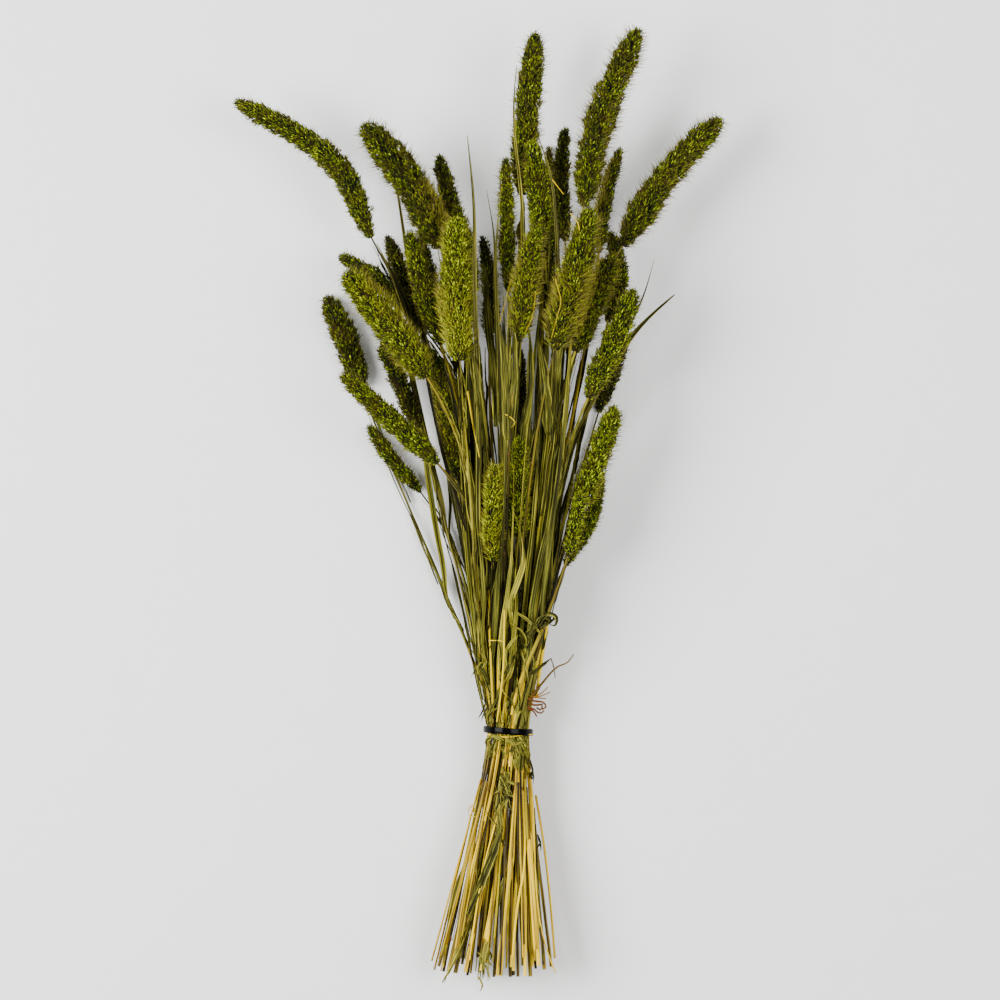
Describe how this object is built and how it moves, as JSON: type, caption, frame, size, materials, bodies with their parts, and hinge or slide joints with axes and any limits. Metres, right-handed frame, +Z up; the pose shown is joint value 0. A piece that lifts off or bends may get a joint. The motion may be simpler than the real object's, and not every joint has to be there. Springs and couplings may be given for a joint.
{
  "type": "dried setaria bunch",
  "caption": "Bunch of dried foxtail millet with drooping bristly seed heads and narrow leaves, held by a cable tie and lying flat.",
  "frame": {"origin": "on the surface that the bunch lies on, under the middle of its bounding box", "axes": "+Y along the bunch from the cut ends to the seed heads, +X to the right seen from above, +Z up from the surface"},
  "size_m": [0.3578, 0.6999, 0.1113],
  "materials": {
    "cable_tie": "smooth black nylon",
    "leafy_stalk": "dry straw, yellow below the tie and olive green above it",
    "seed_head": "dry, granular and bristly, yellow green to dark green"
  },
  "bodies": {
    "root": {"cable_tie": "cable_tie", "leafy_stalk_01": "leafy_stalk", "leafy_stalk_02": "leafy_stalk", "leafy_stalk_03": "leafy_stalk", "leafy_stalk_04": "leafy_stalk", "leafy_stalk_05": "leafy_stalk", "leafy_stalk_06": "leafy_stalk", "leafy_stalk_07": "leafy_stalk", "leafy_stalk_08": "leafy_stalk", "leafy_stalk_09": "leafy_stalk", "leafy_stalk_10": "leafy_stalk", "leafy_stalk_11": "leafy_stalk", "leafy_stalk_12": "leafy_stalk", "leafy_stalk_13": "leafy_stalk", "leafy_stalk_14": "leafy_stalk", "leafy_stalk_15": "leafy_stalk", "leafy_stalk_16": "leafy_stalk", "leafy_stalk_17": "leafy_stalk", "leafy_stalk_18": "leafy_stalk", "leafy_stalk_19": "leafy_stalk", "leafy_stalk_20": "leafy_stalk", "leafy_stalk_21": "leafy_stalk", "seed_head_01": "seed_head", "seed_head_02": "seed_head", "seed_head_03": "seed_head", "seed_head_04": "seed_head", "seed_head_05": "seed_head", "seed_head_06": "seed_head", "seed_head_07": "seed_head", "seed_head_08": "seed_head", "seed_head_09": "seed_head", "seed_head_10": "seed_head", "seed_head_11": "seed_head", "seed_head_12": "seed_head", "seed_head_13": "seed_head", "seed_head_14": "seed_head", "seed_head_15": "seed_head", "seed_head_16": "seed_head", "seed_head_17": "seed_head", "seed_head_18": "seed_head", "seed_head_19": "seed_head", "seed_head_20": "seed_head", "seed_head_21": "seed_head", "seed_head_22": "seed_head", "seed_head_23": "seed_head", "seed_head_24": "seed_head", "seed_head_25": "seed_head", "seed_head_26": "seed_head", "seed_head_27": "seed_head", "seed_head_28": "seed_head", "seed_head_29": "seed_head", "seed_head_30": "seed_head", "seed_head_31": "seed_head", "seed_head_32": "seed_head", "seed_head_33": "seed_head", "seed_head_34": "seed_head", "seed_head_35": "seed_head", "seed_head_36": "seed_head", "seed_head_37": "seed_head"}
  },
  "joints": []
}
